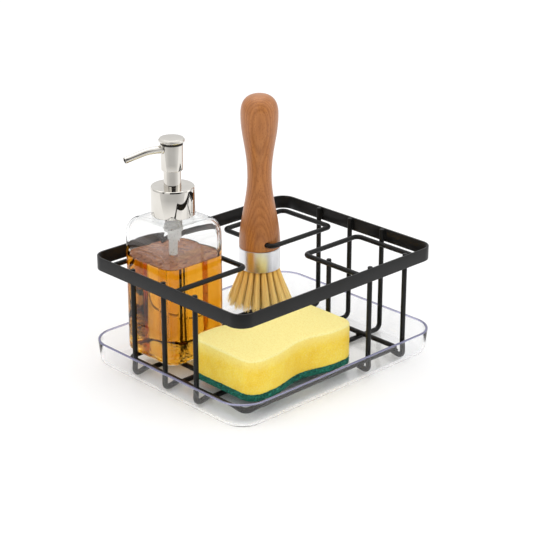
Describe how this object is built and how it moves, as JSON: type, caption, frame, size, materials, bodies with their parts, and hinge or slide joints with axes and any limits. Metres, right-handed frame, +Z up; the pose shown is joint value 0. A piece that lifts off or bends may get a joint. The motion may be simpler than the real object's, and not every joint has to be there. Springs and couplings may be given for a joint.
{
  "type": "soap pump caddy",
  "caption": "Sink caddy: a clear drip tray holds a black wire basket with a square glass soap bottle and press pump, a wooden dish brush hung on a wire loop, and a scouring sponge.",
  "frame": {"origin": "on the table under the middle of the drip tray", "axes": "+X along the long side towards the brush's end, +Y towards the back with the bottle and the brush, +Z up"},
  "size_m": [0.25, 0.207, 0.232],
  "materials": {
    "clear_acrylic": "clear polished acrylic with a faint blue tint at its edge",
    "black_band": "satin black powder coat",
    "black_wire": "satin black powder coat",
    "bottle_glass": "clear glass",
    "amber_soap": "clear amber liquid",
    "gasket": "soft white",
    "white_plastic": "milky white",
    "clear_tube": "milky clear",
    "spring_steel": "bright drawn wire",
    "nickel": "warm polished nickel",
    "brush_wood": "satin oiled",
    "plug_wood": "plain",
    "ferrule_metal": "brushed round its axis",
    "bristle_fibre": "cream and tan plant fibre",
    "yellow_foam": "fine open pores",
    "green_scourer": "coarse fibre"
  },
  "bodies": {
    "tray": {"drip_tray": "clear_acrylic"},
    "basket": {"rim_band": "black_band", "floor_wire_back": "black_wire", "floor_wire_middle": "black_wire", "floor_wire_front": "black_wire", "base_ring": "black_wire", "cross_wire_left": "black_wire", "cross_wire_middle": "black_wire", "cross_wire_right": "black_wire", "front_leg_inner": "black_wire", "front_leg_outer": "black_wire", "back_leg_inner": "black_wire", "back_leg_outer": "black_wire", "divider_post": "black_wire", "bottle_loop": "black_wire", "brush_loop": "black_wire", "side_loop": "black_wire"},
    "bottle": {"glass_bottle": "bottle_glass", "soap_fill": "amber_soap"},
    "pump": {"neck_gasket": "gasket", "pump_housing": "white_plastic", "stem_guide": "white_plastic", "dip_tube": "clear_tube", "return_spring": "spring_steel", "collar_liner": "white_plastic", "collar_shell": "nickel", "guide_neck": "nickel"},
    "inlet_check": {"inlet_ball": "spring_steel"},
    "plunger": {"piston": "white_plastic", "piston_stem": "white_plastic"},
    "head": {"pump_head": "nickel", "head_cap": "nickel", "spout": "nickel"},
    "brush": {"brush_handle": "brush_wood", "ferrule": "ferrule_metal", "bristle_plug": "plug_wood", "bristles": "bristle_fibre"},
    "sponge": {"sponge_foam": "yellow_foam", "scouring_pad": "green_scourer"}
  },
  "joints": [
    {"name": "basket_lift", "type": "slide", "parent": "tray", "child": "basket", "axis": [0, 0, 1], "range_m": [0, 0.04]},
    {"name": "bottle_lift", "type": "slide", "parent": "basket", "child": "bottle", "axis": [0, 0, 1], "range_m": [0, 0.12]},
    {"name": "sponge_lift", "type": "slide", "parent": "basket", "child": "sponge", "axis": [0, 0, 1], "range_m": [0, 0.11]},
    {"name": "brush_swing", "type": "hinge", "parent": "basket", "child": "brush", "pos_m": [0.0326, 0.0478, 0.092], "axis": [0, 1, 0], "range_deg": [-5, 5]},
    {"name": "pump_lift", "type": "slide", "parent": "bottle", "child": "pump", "axis": [0, 0, 1], "range_m": [0, 0.14]},
    {"name": "inlet_valve", "type": "slide", "parent": "pump", "child": "inlet_check", "axis": [0, 0, 1], "range_m": [0, 0.0015]},
    {"name": "pump_press", "type": "slide", "parent": "pump", "child": "plunger", "axis": [0, 0, -1], "range_m": [0, 0.012], "stiffness_N_per_m": 400, "springref_m": -0.012, "deforming": ["return_spring"]},
    {"name": "head_swivel", "type": "hinge", "parent": "plunger", "child": "head", "pos_m": [-0.0633, 0.0504, 0.2], "axis": [0, 0, 1], "continuous": true}
  ]
}
